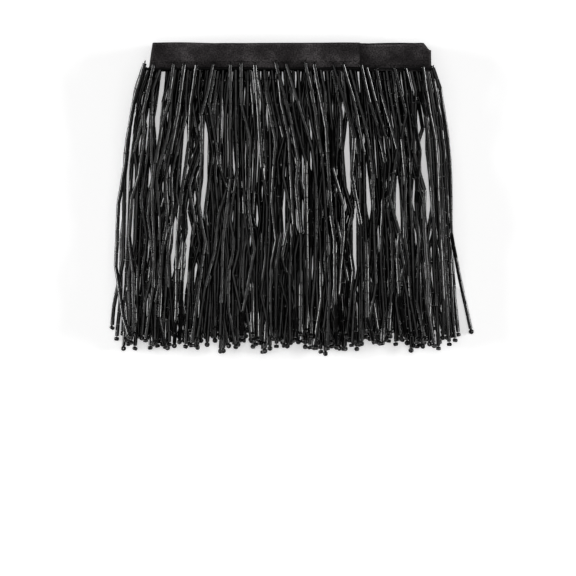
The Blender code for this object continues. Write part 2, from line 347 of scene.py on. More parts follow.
def lay_strand(pile, level, root, offsets=None):
    """Lay one strand on the pile and give its joints from the root down, and its beads in each run."""
    rng = random.Random(f"strand {SEED} {level} {root:.4f}")
    counts, lengths = run_lengths(rng)
    if offsets:
        joints, needs = side_way(pile, root, offsets, lengths)
    else:
        joints, needs = find_way(pile, level, root, lengths, rng)
    heights = settle(joints, layer_heights()[level], needs)
    across, depth = np.array(joints).T
    pile.lay(across, depth, heights, lengths[0])
    return {"joints": np.column_stack((across, SEWN_EDGE - depth, heights)), "counts": counts,
            "lengths": lengths, "level": level}


# %% [markdown]
# ## All the rows
#
# Each layer of ribbon carries one row. Two strands have slid off to the sides of the bundle, so they
# follow their own offsets.

# %% Laying the rows
SIDE_CLEAR = 0.0040
SIDE_STRANDS = (
    (9, -0.0769, (-0.0065, -0.0097, -0.0110, -0.0145, -0.0161, -0.0118, -0.0043)),
    (8, 0.0780, (0.0046, 0.0083, 0.0097, 0.0099, 0.0124, 0.0167, 0.0215)),
)


def strand_rows():
    """The strands of every level, lowest level first."""
    pile = Pile(2 * TURNS * math.ceil((LAST_ROOT - FIRST_ROOT) / STRAND_PITCH + 1))
    rows = []
    for level in range(2 * TURNS):
        end = FREE_END if level == 2 * TURNS - 1 else LAST_ROOT
        first = FIRST_ROOT + random.Random(f"row {SEED} {level}").uniform(0, STRAND_PITCH)
        side = [(root, offsets) for at, root, offsets in SIDE_STRANDS if at == level]
        row = []
        for root in np.arange(first, end, STRAND_PITCH):
            if all(abs(root - taken) > SIDE_CLEAR for taken, _ in side):
                row.append(lay_strand(pile, level, root))
        row += [lay_strand(pile, level, root, offsets) for root, offsets in side]
        rows.append(sorted(row, key=lambda strand: strand["joints"][0, 0]))
    return rows


rows = strand_rows()
tips = min(strand["joints"][-1, 1] for row in rows for strand in row)
print(sum(len(row) for row in rows), "strands, the lowest tip at", round(tips * 1000, 1), "mm")

# %% [markdown]
# ## Meshes from arrays
#
# Every piece below is one mesh made from whole arrays of corners and faces. A small helper puts them
# into Blender, with the piece's own UV map, its own corner normals and one number for each bead that
# its material can read.

# %% The mesh helper


def add_piece(name, corners, quads, triangles=None, uv=None, normals=None, tone=None):
    """A smooth mesh object from arrays: corner points, faces as corner numbers, and what rides on them."""
    triangles = np.zeros((0, 3), int) if triangles is None else triangles
    mesh = bpy.data.meshes.new(name)
    mesh.vertices.add(len(corners))
    mesh.vertices.foreach_set("co", np.asarray(corners, np.float32).ravel())
    loops = np.concatenate((quads.ravel(), triangles.ravel())).astype(np.int32)
    mesh.loops.add(len(loops))
    mesh.loops.foreach_set("vertex_index", loops)
    starts = np.concatenate((np.arange(len(quads)) * 4, quads.size + np.arange(len(triangles)) * 3))
    mesh.polygons.add(len(starts))
    mesh.polygons.foreach_set("loop_start", starts.astype(np.int32))
    mesh.polygons.foreach_set("use_smooth", np.ones(len(starts), bool))
    mesh.update(calc_edges=True)
    if uv is not None:
        mesh.uv_layers.new(name="surface").data.foreach_set("uv", uv[loops].astype(np.float32).ravel())
    if tone is not None:
        values = mesh.attributes.new("tone", "FLOAT", "POINT")
        values.data.foreach_set("value", np.asarray(tone, np.float32))
    mesh.validate()
    if normals is not None:
        mesh.normals_split_custom_set_from_vertices(normals)
    piece = bpy.data.objects.new(name, mesh)
    bpy.context.scene.collection.objects.link(piece)
    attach(piece, "root")
    print(name, len(corners), "corners", len(starts), "faces")
    return piece


def grid_quads(across, along, closed=False):
    """Faces of a grid whose corner (i, j) is number i times across plus j; closed joins the last j to 0."""
    i = np.arange(along - 1)[:, None] * across
    j = np.arange(across if closed else across - 1)[None, :]
    after = (j + 1) % across
    return np.stack((i + j, i + after, i + across + after, i + across + j), axis=-1).reshape(-1, 4)


# %% [markdown]
# ## The line of the wound ribbon
#
# Seen from its edge, the ribbon is a flat spiral. It starts at the free end on top, runs left, turns
# down round the bend, comes back underneath and goes on inwards. The points are close together round
# the bends and a millimetre apart on the straight.

# %% The spiral
BEND_RADIUS = 0.0020
BEND_STEPS = 8
RUN_STEP = 0.0010


def bend(across, start, end, outward):
    """Two quarter circles joined by a straight: sine and cosine of an angle that grows and then falls."""
    radius = min(BEND_RADIUS, abs(end - start) / 2)
    way = math.copysign(1.0, end - start)
    angle = np.linspace(0, math.pi / 2, BEND_STEPS + 1)
    x = across - outward * radius * (1 - np.sin(angle))
    rise = radius * (1 - np.cos(angle))
    first = np.column_stack((x, start + way * rise))
    second = np.column_stack((x, end - way * rise))[::-1]
    return np.vstack((first, second))


def spiral():
    """Points x, z of the wound ribbon from the free end inwards."""
    heights = layer_heights()
    line = np.array([(FREE_END, heights[-1])])
    corners = []
    for turn in range(TURNS):
        inset = SHEET / 2 + turn * LAYER_PITCH
        corners.append(bend(LEFT_BEND + inset, heights[-1 - turn], heights[turn], -1))
        if turn < TURNS - 1:
            corners.append(bend(RIGHT_BEND - inset, heights[turn], heights[-2 - turn], 1))
    corners.append(np.array([(INNER_END, heights[TURNS - 1])]))
    for corner in corners:
        steps = round(abs(corner[0, 0] - line[-1, 0]) / RUN_STEP)
        share = np.arange(1, steps)[:, None] / steps
        line = np.vstack((line, line[-1] + (corner[0] - line[-1]) * share, corner))
    kept = np.concatenate(([True], np.linalg.norm(np.diff(line, axis=0), axis=1) > 1e-6))
    return line[kept]


line = spiral()
step = np.linalg.norm(np.diff(line, axis=0), axis=1)
along = np.concatenate(([0.0], np.cumsum(step)))
tangent = np.gradient(line, along, axis=0)
tangent /= np.linalg.norm(tangent, axis=1)[:, None]
outward = np.column_stack((tangent[:, 1], -tangent[:, 0]))
ribbon_length = float(along[-1])
print("wound ribbon", round(ribbon_length, 3), "m long,", len(line), "points")

# %% [markdown]
# ## The satin ribbon
#
# The ribbon is a thin sheet, so it is a grid: one direction runs along the spiral, the other across the
# width. Its edges waver by a fraction of a millimetre from turn to turn, which shows as fine lines along
# the upper edge, and the cloth is never quite flat: long soft ripples catch the light in patches, and
# each sewn strand pulls a small dimple into the lower edge. Five of the rows across lie close under the
# upper edge. Those rows carry a number for the material that paints a line of shade at the edge and a
# highlight just below it. The turns under the first one get a lower number, which paints them in a little
# shade, and the number falls away at the cut end, so the satin is darker there. A Solidify modifier gives
# the sheet its thickness.

# %% The ribbon's edges and ripples
RIBBON_SHEET = 0.0005
# The edge rows paint a line of shade at the upper edge and a highlight just below it.
EDGE_ROWS = (0.0, 0.025, 0.050, 0.080, 0.115)
EDGE_SHADE_AND_HIGHLIGHT = (0.0, 0.25, 1.0, 0.85, 0.5)
CUT_END = 0.0012
# Painted shade: the turns under the first one get a lower number, so their satin is painted darker.
INNER_FROM = 0.20
INNER_TO = 0.25
INNER_SHADE = 0.16
ROWS_BELOW = 18
UPPER_EDGE = RIBBON_WIDTH / 2
EDGE_WAVE = 0.00035
SHOULDER_DROP = 0.0040
SHOULDER_FROM = 0.0724
SHOULDER_TO = 0.0765
LEFT_FLARE = 0.0019
LEFT_FLARE_FROM = -0.0600
HEM_DROP = 0.0009
LOW_TURN_DROP = 0.0018
RIPPLE = 0.00016
DIMPLE = 0.00035
DIMPLE_WIDTH = 0.0016
DIMPLE_FROM = 0.6


def upper_edge(x, s):
    """The wavy upper edge: two sine waves along the length s, and a drop round the right bend."""
    wave = np.sin(math.tau * s / 0.083) + 0.6 * np.sin(math.tau * s / 0.047 + 1.3)
    fall = SHOULDER_DROP * smooth_step(x, SHOULDER_FROM, SHOULDER_TO)
    return UPPER_EDGE - EDGE_WAVE + EDGE_WAVE * 0.6 * wave - fall


def low_turn(s):
    """1 where the second turn of the front lies lower than the first, past the free end, and 0 elsewhere."""
    start = 2 * (RIGHT_BEND - LEFT_BEND)
    return smooth_step(s, start - 0.045, start - 0.012) * (1 - smooth_step(s, start + 0.03, start + 0.07))


def lower_edge(s):
    """The lower edge, which wavers and lies lower in the low turn."""
    wave = np.sin(math.tau * s / 0.061 + 0.7) + 0.5 * np.sin(math.tau * s / 0.029)
    return SEWN_EDGE - HEM_DROP + 0.0002 * wave - LOW_TURN_DROP * low_turn(s)


def ripple(s, v):
    """Height off the flat: products of long sine waves along s and across v."""
    soft = np.sin(math.tau * s / 0.037 + 1.9 * v) * np.cos(2.1 * v + s / 0.021)
    fine = np.sin(math.tau * s / 0.0113 + 2.7 * np.sin(s / 0.009)) * np.sin(math.pi * v)
    return RIPPLE * (soft + 0.35 * fine)


def pulled_in():
    """How hard the strands pull on every point of the line: a bell curve round each root of its layer."""
    level = np.abs(line[:, 1, None] - np.array(layer_heights())).argmin(axis=1)
    pull = np.zeros(len(line))
    for number, row in enumerate(rows):
        roots = np.array([strand["joints"][0, 0] for strand in row])
        here = level == number
        pull[here] = np.exp(-((line[here, 0, None] - roots) / DIMPLE_WIDTH) ** 2).sum(axis=1)
    return pull


# %% The ribbon's mesh
share = np.concatenate((EDGE_ROWS, np.linspace(EDGE_ROWS[-1], 1, ROWS_BELOW + 1)[1:]))[None, :]
# Painted shade and highlight: a dark line at the upper edge and a light one below it, painted shade on the
# turns under the first one, and darker at the cut end.
inner_shade = INNER_SHADE * smooth_step(along, INNER_FROM, INNER_TO)[:, None]
painted_shade_and_highlight = np.maximum(np.interp(share, EDGE_ROWS, EDGE_SHADE_AND_HIGHLIGHT) - inner_shade, 0.0)
painted_shade_and_highlight = painted_shade_and_highlight * smooth_step(along, 0.0, CUT_END)[:, None]
top = upper_edge(line[:, 0], along)[:, None]
foot = lower_edge(along)[:, None]
off = ripple(along[:, None], share) - DIMPLE * pulled_in()[:, None] * smooth_step(share, DIMPLE_FROM, 1.0)
flare = -LEFT_FLARE * smooth_step(-line[:, 0], -LEFT_FLARE_FROM, -LEFT_BEND)[:, None] * share
ribbon_x = line[:, 0, None] + outward[:, 0, None] * off + flare
ribbon_z = line[:, 1, None] + outward[:, 1, None] * off
ribbon_y = top + (foot - top) * share
corners = np.stack((ribbon_x, ribbon_y, ribbon_z), axis=-1)
corners[..., 2] = np.maximum(corners[..., 2], RIBBON_SHEET / 2)
ribbon_uv = np.stack((np.broadcast_to(along[:, None], ribbon_y.shape), ribbon_y), axis=-1)
ribbon = add_piece("satin_ribbon_cloth", corners.reshape(-1, 3), grid_quads(share.size, len(line)),
                   uv=ribbon_uv.reshape(-1, 2), tone=painted_shade_and_highlight.ravel())
thickness = ribbon.modifiers.new("thickness", "SOLIDIFY")
thickness.thickness = RIBBON_SHEET
thickness.offset = 0.0
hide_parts("satin_ribbon")

# %% [markdown]
# ## Where every bead goes
#
# A strand is a chain of straight pieces with one bead on each. Cane is cut by hand, so no two beads are
# of quite the same length, and the joints are moved aside by a hair. The last run of a strand may be a
# little longer or shorter than planned, so that the tips don't end in one line. On the rows that lie on
# top the first bead sits on the face of the ribbon, a little above its lower edge. On the others it
# starts right under the edge.

# %% Bead joints
BEAD_RADIUS = 0.00112
JOG = 0.00006
CUT_SPREAD = 0.08
ON_RIBBON = 0.0018
HEADS_APART = 0.0016
LOWER_START = 0.0018
LAST_ON_FACE = 0.0765
EDGE_ROOM = 0.0004
TIP_SPREAD = 0.0022
TIP_SHORT = 0.0008


def bead_joints(strand, rng):
    """Ends of the beads: uneven shares of every run, moved a hair aside; the last run varies in length."""
    joints = strand["joints"].copy()
    last_run = joints[-1] - joints[-2]
    longer = np.clip(rng.normal(-TIP_SHORT, TIP_SPREAD), -2 * TIP_SPREAD, 2 * TIP_SPREAD)
    joints[-1] += last_run / np.linalg.norm(last_run) * longer
    points = [joints[:1]]
    for run, count in enumerate(strand["counts"]):
        last = run == len(strand["counts"]) - 1
        part = 1 - END_BEAD / strand["lengths"][-1] if last else 1.0
        cut = 1 + CUT_SPREAD * rng.uniform(-1, 1, count)
        shares = np.cumsum(cut / cut.sum())[:, None] * part
        points.append(joints[run] + (joints[run + 1] - joints[run]) * shares)
    points = np.vstack(points)
    aside = rng.normal(0, JOG, len(points))
    points[1:, 0] += np.clip(aside[1:], -2 * JOG, 2 * JOG)
    on_top = strand["level"] == 2 * TURNS - 1
    low = strand["level"] == 2 * TURNS - 2 and FREE_END < joints[0, 0] < LAST_ON_FACE
    near = np.clip(1 - (SEWN_EDGE - points[:, 1]) / strand["lengths"][0], 0, 1)
    lift = RIBBON_SHEET / 2 + BEAD_RADIUS if on_top or low else 0.0
    points[:, 2] += near * lift
    on_face = ON_RIBBON - HEADS_APART * rng.random()
    start = on_face if on_top else on_face - LOWER_START if low else -HEM_DROP - EDGE_ROOM * rng.random()
    points[:, 1] += near * start
    points[:, 2] = np.maximum(points[:, 2], BEAD_RADIUS)
    return points


for row in rows:
    for number, strand in enumerate(row):
        rng = np.random.default_rng(1000 * strand["level"] + number)
        strand["beads"] = bead_joints(strand, rng)
bead_total = sum(len(strand["beads"]) - 1 for row in rows for strand in row)
print(bead_total, "tube beads")

# %% [markdown]
# ## A tube bead
#
# The beads are short lengths of black glass cane, cut off and lightly melted at the ends. The cane is
# nearly round, with six soft sides. A side that lies flat mirrors the light overhead as one dull grey
# face, and a low light shows as a thin line on one side or the other, as the bead has rolled. One bead
# is a ring of twelve corners carried along its axis and closed at both ends. Copies of it are placed by
# arrays. The normals at the corners lean ten degrees towards the middle of their side, so that the light
# shows each side nearly flat with a soft edge, and no extra faces are needed for it.

# %% The shape of one bead
SIDES = 6
SIDE_SHARE = 0.65
CROWN = math.radians(11)
MELTED = 0.035
MELTED_IN = 0.86


def tube_shape():
    """Corners, normals, quads, triangles and UVs of a six-sided tube of length 1 along Z and radius 1."""
    side = np.arange(SIDES) * math.tau / SIDES
    half = math.tan(math.pi / SIDES) * SIDE_SHARE
    apothem = 1 / math.hypot(1, half)
    edge = np.array([-half, half])
    x = apothem * (np.cos(side)[:, None] - np.sin(side)[:, None] * edge).ravel()
    y = apothem * (np.sin(side)[:, None] + np.cos(side)[:, None] * edge).ravel()
    facing = (side[:, None] + CROWN * np.array([-1, 1])).ravel()
    height = np.array([0, MELTED, 1 - MELTED, 1])
    radius = np.array([MELTED_IN, 1, 1, MELTED_IN])
    tilt = np.array([-1.0, 0.0, 0.0, 1.0])
    ring = len(x)
    corners = np.stack((radius[:, None] * x, radius[:, None] * y, np.repeat(height[:, None], ring, 1)), -1)
    normals = np.stack(np.broadcast_arrays(np.cos(facing), np.sin(facing), tilt[:, None]), -1)
    normals = normals / np.linalg.norm(normals, axis=-1)[..., None]
    corners = np.vstack((corners.reshape(-1, 3), [(0, 0, 0), (0, 0, 1)]))
    normals = np.vstack((normals.reshape(-1, 3), [(0, 0, -1), (0, 0, 1)]))
    quads = grid_quads(ring, len(height), closed=True)
    here = np.arange(ring)
    after = (here + 1) % ring
    bottom = np.stack((after, here, np.full(ring, 4 * ring)), -1)
    lid = np.stack((3 * ring + here, 3 * ring + after, np.full(ring, 4 * ring + 1)), -1)
    uv = np.stack(np.broadcast_arrays(here / ring, height[:, None]), -1).reshape(-1, 2)
    uv = np.vstack((uv, [(0.5, 0), (0.5, 1)]))
    return corners, normals, quads, np.vstack((bottom, lid)), uv


shape = tube_shape()
print("one tube bead has", len(shape[2]) + len(shape[3]), "faces")

# %% Placing copies along their axes


def place_copies(shape, start, end, radius, roll):
    """Copies of a shape: its Z goes from start to end, and its X and Y lie across that, turned by roll."""
    corners, normals, quads, triangles, uv = shape
    axis = end - start
    length = np.linalg.norm(axis, axis=1)[:, None]
    ahead = axis / length
    side = np.cross(ahead, (0.0, 0.0, 1.0))
    flat = np.linalg.norm(side, axis=1)[:, None]
    side = np.where(flat > 1e-6, side / np.maximum(flat, 1e-6), (1.0, 0.0, 0.0))
    up = np.cross(side, ahead)
    right = side * np.cos(roll)[:, None] + up * np.sin(roll)[:, None]
    front = np.cross(ahead, right)
    turn = np.stack((right, front, ahead), axis=1)
    scale = np.column_stack((radius, radius, length[:, 0]))
    placed = np.einsum("ck,nk,nkj->ncj", corners, scale, turn) + start[:, None, :]
    facing = np.einsum("ck,nkj->ncj", normals, turn)
    offset = np.arange(len(start))[:, None, None] * len(corners)
    shifted = uv[None] + np.random.default_rng(len(start)).random((len(start), 1, 2)) * 40
    return (placed.reshape(-1, 3), (quads[None] + offset).reshape(-1, 4),
            (triangles[None] + offset).reshape(-1, 3), shifted.reshape(-1, 2), facing.reshape(-1, 3))


# %% [markdown]
# ## The rows of beads
#
# Each row is one mesh and stands for one solid of the collision model. The beads keep a hair of room
# from their neighbours on the thread. A whole strand has rolled by any angle, and its beads by a few
# degrees more or less, so that their streaks don't quite meet.

# %% Beads of every row
BEAD_ROOM = 0.00003
TWIST = math.radians(4)
LEVEL_NAMES = [("back", level + 1) for level in range(TURNS)]
LEVEL_NAMES += [("front", level + 1) for level in range(TURNS)]
bead_rows = []
for (side_name, number), row in zip(LEVEL_NAMES, rows):
    rng = np.random.default_rng(50 + 10 * number + (side_name == "front"))
    start = np.vstack([strand["beads"][:-1] for strand in row])
    end = np.vstack([strand["beads"][1:] for strand in row])
    ahead = (end - start) / np.linalg.norm(end - start, axis=1)[:, None]
    radius = BEAD_RADIUS * rng.uniform(0.95, 1.03, len(start))
    each = [len(strand["beads"]) - 1 for strand in row]
    roll = np.repeat(rng.uniform(0, math.tau, len(row)), each) + rng.normal(0, TWIST, len(start))
    placed, quads, triangles, uv, facing = place_copies(
        shape, start + ahead * BEAD_ROOM, end - ahead * BEAD_ROOM, radius, roll)
    tone = np.repeat(rng.random(len(start)), len(shape[0]))
    piece = add_piece(f"tube_beads_{side_name}_{number}", placed, quads, triangles, uv, facing, tone)
    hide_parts(f"strands_{side_name}_{number}")
    bead_rows.append(piece)

# %% [markdown]
# ## The round end beads
#
# The thread comes down through the tubes, passes through one round bead and goes back up, so this bead
# stops it. It is an oval ring with a hole: a section of six corners carried round a circle. The section
# is an ellipse, wider across the wall than along the hole, and the hole is hardly wider than the thread.

# %% End beads
END_RADIUS = 0.00150
END_HALF = 0.00105
END_HOLE = 0.00022
RING_CORNERS = 12
SECTION_CORNERS = 6
END_SET = 0.95  # share of its radius that an end bead lies past the last tube
ALONG_SHARE = 0.35  # share of the end beads whose hole lies along the strand
ALONG_TILT = 0.2


def ring_bead_shape():
    """Corners and faces of a ring along Z: radius is the ring's middle plus a cosine, height is a sine."""
    round_angle = np.arange(RING_CORNERS)[:, None] * math.tau / RING_CORNERS
    section = np.arange(SECTION_CORNERS)[None, :] * math.tau / SECTION_CORNERS
    middle = (END_RADIUS + END_HOLE) / 2
    wall = (END_RADIUS - END_HOLE) / 2
    radius = (middle + wall * np.cos(section)) / END_RADIUS
    corners = np.stack(np.broadcast_arrays(radius * np.cos(round_angle), radius * np.sin(round_angle),
                                           0.5 + 0.5 * np.sin(section)), -1)
    lean = np.stack(np.broadcast_arrays(np.cos(section) * np.cos(round_angle),
                                        np.cos(section) * np.sin(round_angle),
                                        np.sin(section) * wall / END_HALF), -1)
    normals = lean / np.linalg.norm(lean, axis=-1)[..., None]
    i = np.arange(RING_CORNERS)[:, None]
    j = np.arange(SECTION_CORNERS)[None, :]
    i_after = (i + 1) % RING_CORNERS * SECTION_CORNERS
    j_after = (j + 1) % SECTION_CORNERS
    here = i * SECTION_CORNERS
    quads = np.stack((here + j, i_after + j, i_after + j_after, here + j_after), -1).reshape(-1, 4)
    uv = np.stack(np.broadcast_arrays(i / RING_CORNERS, j / SECTION_CORNERS), -1).reshape(-1, 2)
    return corners.reshape(-1, 3), normals.reshape(-1, 3), quads, np.zeros((0, 3), int), uv


end_shape = ring_bead_shape()
rng = np.random.default_rng(77)
centres = []
axes = []
for row in rows:
    for strand in row:
        last = strand["beads"][-1]
        ahead = last - strand["beads"][-2]
        ahead /= np.linalg.norm(ahead)
        centre = last + ahead * END_RADIUS * END_SET
        centre[2] = max(centre[2], END_RADIUS)
        strand["end_bead"] = centre
        turn = rng.normal(0, 1, 3)
        axis = ahead + ALONG_TILT * turn if rng.random() < ALONG_SHARE else np.cross(ahead, turn)
        centres.append(centre)
        axes.append(axis / np.linalg.norm(axis))
centres = np.array(centres)
axes = np.array(axes)
placed, quads, triangles, uv, facing = place_copies(
    end_shape, centres - axes * END_HALF, centres + axes * END_HALF,
    np.full(len(centres), END_RADIUS), rng.uniform(0, math.tau, len(centres)))
tone = np.repeat(rng.random(len(centres)), len(end_shape[0]))
end_beads = add_piece("round_end_beads", placed, quads, triangles, uv, facing, tone)

# %% [markdown]
# ## Thread and stitches
#
# A black thread runs down through every strand and shows in the hair's width between the beads. At the
# top it ends in a small knot and goes into the ribbon. It is a five-sided tube carried along the bead
# joints, with a ring of corners at every joint, and the rings at the knot are wider. The strands of one
# row hang on a stitched cord along the lower edge of the ribbon. That cord is the same tube on a fine
# sine, once for every row, and it closes the table off from view just under the edge.

# %% The threads
THREAD_RADIUS = 0.00022
KNOT_RADIUS = 0.00044
THREAD_SIDES = 5
KNOT_PATH = np.array([(0.3, 1.5, -1.25), (0.2, 1.0, -0.7), (0.1, 0.5, -0.5)])
KNOT_STEP = (0.0010, 0.0010, BEAD_RADIUS)
HEADER_RADIUS = 0.00065
HEADER_PAST = 0.0008
HEADER_STEP = 0.00030
HEADER_STITCH = 0.0018
HEADER_WAVE = 0.12
HEADER_BELOW = 0.9  # share of its radius that the middle of the cord lies below the ribbon's edge


def thread_tube(path, radius):
    """Corners and faces of a tube along a path: a ring of its own radius across the way at every point."""
    ahead = np.gradient(path, axis=0)
    ahead /= np.linalg.norm(ahead, axis=1)[:, None]
    side = np.cross(ahead, (0.0, 0.0, 1.0))
    side /= np.linalg.norm(side, axis=1)[:, None]
    up = np.cross(side, ahead)
    angle = np.arange(THREAD_SIDES) * math.tau / THREAD_SIDES
    ring = side[:, None] * np.cos(angle)[None, :, None] + up[:, None] * np.sin(angle)[None, :, None]
    corners = (path[:, None] + ring * radius[:, None, None]).reshape(-1, 3)
    count = len(corners)
    corners = np.vstack((corners, path[:1], path[-1:]))
    quads = grid_quads(THREAD_SIDES, len(path), closed=True)[:, ::-1]
    here = np.arange(THREAD_SIDES)
    after = (here + 1) % THREAD_SIDES
    first = np.stack((here, after, np.full(THREAD_SIDES, count)), -1)
    base = count - THREAD_SIDES
    last = np.stack((base + after, base + here, np.full(THREAD_SIDES, count + 1)), -1)
    return corners, quads, np.vstack((first, last))


def header_path(row, height):
    """The path of the cord that holds a row: a fine sine along the edge, a stitch for every wave."""
    ends = row[0]["joints"][0, 0] - HEADER_PAST, row[-1]["joints"][0, 0] + HEADER_PAST
    x = np.arange(*ends, HEADER_STEP)
    wave = np.sin(math.tau * x / HEADER_STITCH)
    y = SEWN_EDGE - HEM_DROP - HEADER_RADIUS * (HEADER_BELOW + HEADER_WAVE * wave)
    return np.column_stack((x, y, np.full(len(x), max(height, HEADER_RADIUS * (1 + HEADER_WAVE)))))


def strand_path(strand):
    """The path and the radius of a strand's thread: through the knot, the tube beads and the end bead."""
    knot = strand["beads"][0] + KNOT_PATH * KNOT_STEP
    knot[:, 2] = np.maximum(knot[:, 2], (THREAD_RADIUS, KNOT_RADIUS, KNOT_RADIUS))
    path = np.vstack((knot, strand["beads"], strand["end_bead"]))
    radius = np.full(len(path), THREAD_RADIUS)
    radius[1:3] = KNOT_RADIUS
    return path, radius


tubes = []
for row, height in zip(rows, layer_heights()):
    cord = header_path(row, height)
    swell = 1 + HEADER_WAVE * np.cos(math.tau * 2 * cord[:, 0] / HEADER_STITCH)
    tubes.append(thread_tube(cord, HEADER_RADIUS * swell))
    tubes += [thread_tube(*strand_path(strand)) for strand in row]
before = np.cumsum([0] + [len(corners) for corners, _, _ in tubes])
threads = add_piece("threads", np.vstack([corners for corners, _, _ in tubes]),
                    np.vstack([quads + count for (_, quads, _), count in zip(tubes, before)]),
                    np.vstack([triangles + count for (_, _, triangles), count in zip(tubes, before)]))

# %% [markdown]
# A line of machine stitches holds the folded lower edge of the ribbon. One stitch is a spindle, thick in
# the middle and closed to a point at both ends, and it lies along the ribbon on its outer face.

# %% The line of stitches
STITCH_PITCH = 0.0026
STITCH_LENGTH = 0.0019
STITCH_RADIUS = 0.00020
STITCH_ABOVE = 0.0030
STITCH_SLANT = 0.0002
STITCH_SIDES = 6
STITCH_RINGS = (0.12, 0.5, 0.88)
STITCHED_AT = 0.8  # share of the ribbon's width at which the stitches lie


def spindle_shape():
    """Rings of corners along a Z of length 1, whose radius is the square root of a half sine."""
    height = np.array(STITCH_RINGS)
    angle = np.arange(STITCH_SIDES) * math.tau / STITCH_SIDES
    radius = np.sin(math.pi * height)[:, None] ** 0.5
    corners = np.stack(np.broadcast_arrays(radius * np.cos(angle), radius * np.sin(angle),
                                           height[:, None]), -1).reshape(-1, 3)
    corners = np.vstack((corners, [(0, 0, 0), (0, 0, 1)]))
    normals = corners * (1, 1, 0)
    normals[-2:] = [(0, 0, -1), (0, 0, 1)]
    normals /= np.linalg.norm(normals, axis=1)[:, None]
    here = np.arange(STITCH_SIDES)
    after = (here + 1) % STITCH_SIDES
    top = STITCH_SIDES * (len(height) - 1)
    bottom = np.stack((after, here, np.full(STITCH_SIDES, len(corners) - 2)), -1)
    lid = np.stack((top + here, top + after, np.full(STITCH_SIDES, len(corners) - 1)), -1)
    quads = grid_quads(STITCH_SIDES, len(height), closed=True)
    return corners, normals, quads, np.vstack((bottom, lid)), corners[:, :2]


middle = np.arange(STITCH_PITCH, ribbon_length - STITCH_PITCH, STITCH_PITCH)
ends = []
for side_of_stitch in (-0.5, 0.5):
    at = middle + side_of_stitch * STITCH_LENGTH
    off = RIBBON_SHEET / 2 + ripple(at, STITCHED_AT)
    x = np.interp(at, along, line[:, 0]) + np.interp(at, along, outward[:, 0]) * off
    z = np.interp(at, along, line[:, 1]) + np.interp(at, along, outward[:, 1]) * off
    y = lower_edge(at) + STITCH_ABOVE + side_of_stitch * 2 * STITCH_SLANT
    ends.append(np.column_stack((x, y, np.maximum(z, STITCH_RADIUS))))
placed, quads, triangles, _, _ = place_copies(
    spindle_shape(), *ends, np.full(len(middle), STITCH_RADIUS), np.zeros(len(middle)))
stitches = add_piece("edge_stitches", placed, quads, triangles)

# %% [markdown]
# ## Black glass
#
# Black glass has almost no colour of its own. What is seen is the light it mirrors, so the material is a
# near-black base under a smooth clear surface. Each bead reads its own number and is a touch warmer or
# cooler, smoother or duller than the next. A fine bump drawn out along the bead stands for the marks
# that the glass has from being pulled into cane.

# %% Material helpers and the glass


def new_material(name):
    """An empty node material and its shader."""
    made = bpy.data.materials.new(name)
    made.use_nodes = True
    nodes = made.node_tree.nodes
    return made, nodes, made.node_tree.links, nodes["Principled BSDF"]


def add_node(nodes, kind, **sockets):
    """A shader node with its sockets set; an underscore in a socket's name stands for a space."""
    node = nodes.new("ShaderNode" + kind)
    for name, value in sockets.items():
        node.inputs[name.replace("_", " ")].default_value = value
    return node


def colour_ramp(nodes, stops):
    """A ramp through the given places and colours."""
    ramp = nodes.new("ShaderNodeValToRGB")
    elements = ramp.color_ramp.elements
    elements[0].position, elements[1].position = stops[0][0], stops[-1][0]
    elements[0].color, elements[1].color = (*stops[0][1], 1), (*stops[-1][1], 1)
    for place, colour in stops[1:-1]:
        elements.new(place).color = (*colour, 1)
    return ramp


def map_range(nodes, links, value, low, high, value_low=0.0, value_high=1.0):
    """Take a value, from 0 to 1 if not said otherwise, into another range."""
    node = add_node(nodes, "MapRange", From_Min=value_low, From_Max=value_high, To_Min=low, To_Max=high)
    links.new(value, node.inputs["Value"])
    return node.outputs["Result"]


def glass_material():
    """Black glass: each bead's own number picks its tint and its roughness, over a drawn-out bump."""
    made, nodes, links, shader = new_material("black_glass")
    tone = nodes.new("ShaderNodeAttribute")
    tone.attribute_name = "tone"
    ramp = colour_ramp(nodes, [(0, (0.0004, 0.0005, 0.0008)), (0.4, (0.0003, 0.0003, 0.0003)),
                               (0.75, (0.0007, 0.0004, 0.0005)), (1, (0.0004, 0.0006, 0.0006))])
    links.new(tone.outputs["Fac"], ramp.inputs["Fac"])
    links.new(ramp.outputs["Color"], shader.inputs["Base Color"])
    links.new(map_range(nodes, links, tone.outputs["Fac"], 0.05, 0.16), shader.inputs["Roughness"])
    shader.inputs["IOR"].default_value = 1.5
    uv = nodes.new("ShaderNodeUVMap")
    uv.uv_map = "surface"
    drawn = add_node(nodes, "Mapping", Scale=(9, 1.3, 1))
    noise = add_node(nodes, "TexNoise", Scale=1.0, Detail=2.0)
    bump = add_node(nodes, "Bump", Strength=0.25, Distance=0.0001)
    links.new(uv.outputs["UV"], drawn.inputs["Vector"])
    links.new(drawn.outputs["Vector"], noise.inputs["Vector"])
    links.new(noise.outputs["Fac"], bump.inputs["Height"])
    links.new(bump.outputs["Normal"], shader.inputs["Normal"])
    return made


glass = glass_material()
for piece in bead_rows + [end_beads]:
    piece.data.materials.append(glass)

# %% [markdown]
# ## Satin and thread
#
# Satin is woven so that most threads float on top, which gives a soft, smeared shine. The base is a warm
# black with lighter and darker patches painted in as sheen, and the roughness follows the same patches.
# A much finer noise makes the colour lighter and darker by up to six tenths, as the grain of the weave,
# and the number from the edge rows paints a line of shade and a highlight along the upper edge, and a
# little shade on the inner turns. Two fine waves across and along stand for the threads. The pattern
# follows the ribbon's own UV map, whose units are metres along and across, so it turns with the ribbon
# round each bend. The gloss is kept low, because a strong one would turn the ribbon white where it is
# seen at a flat angle against the light.

# %% The satin and the thread
WEFT_PITCH = 0.00032
WARP_PITCH = 0.00045
BAND_SCALE = 0.314  # scale at which the wave texture has one band in a length of 1
WARP_SHARE = 0.35
GRAIN = 0.60


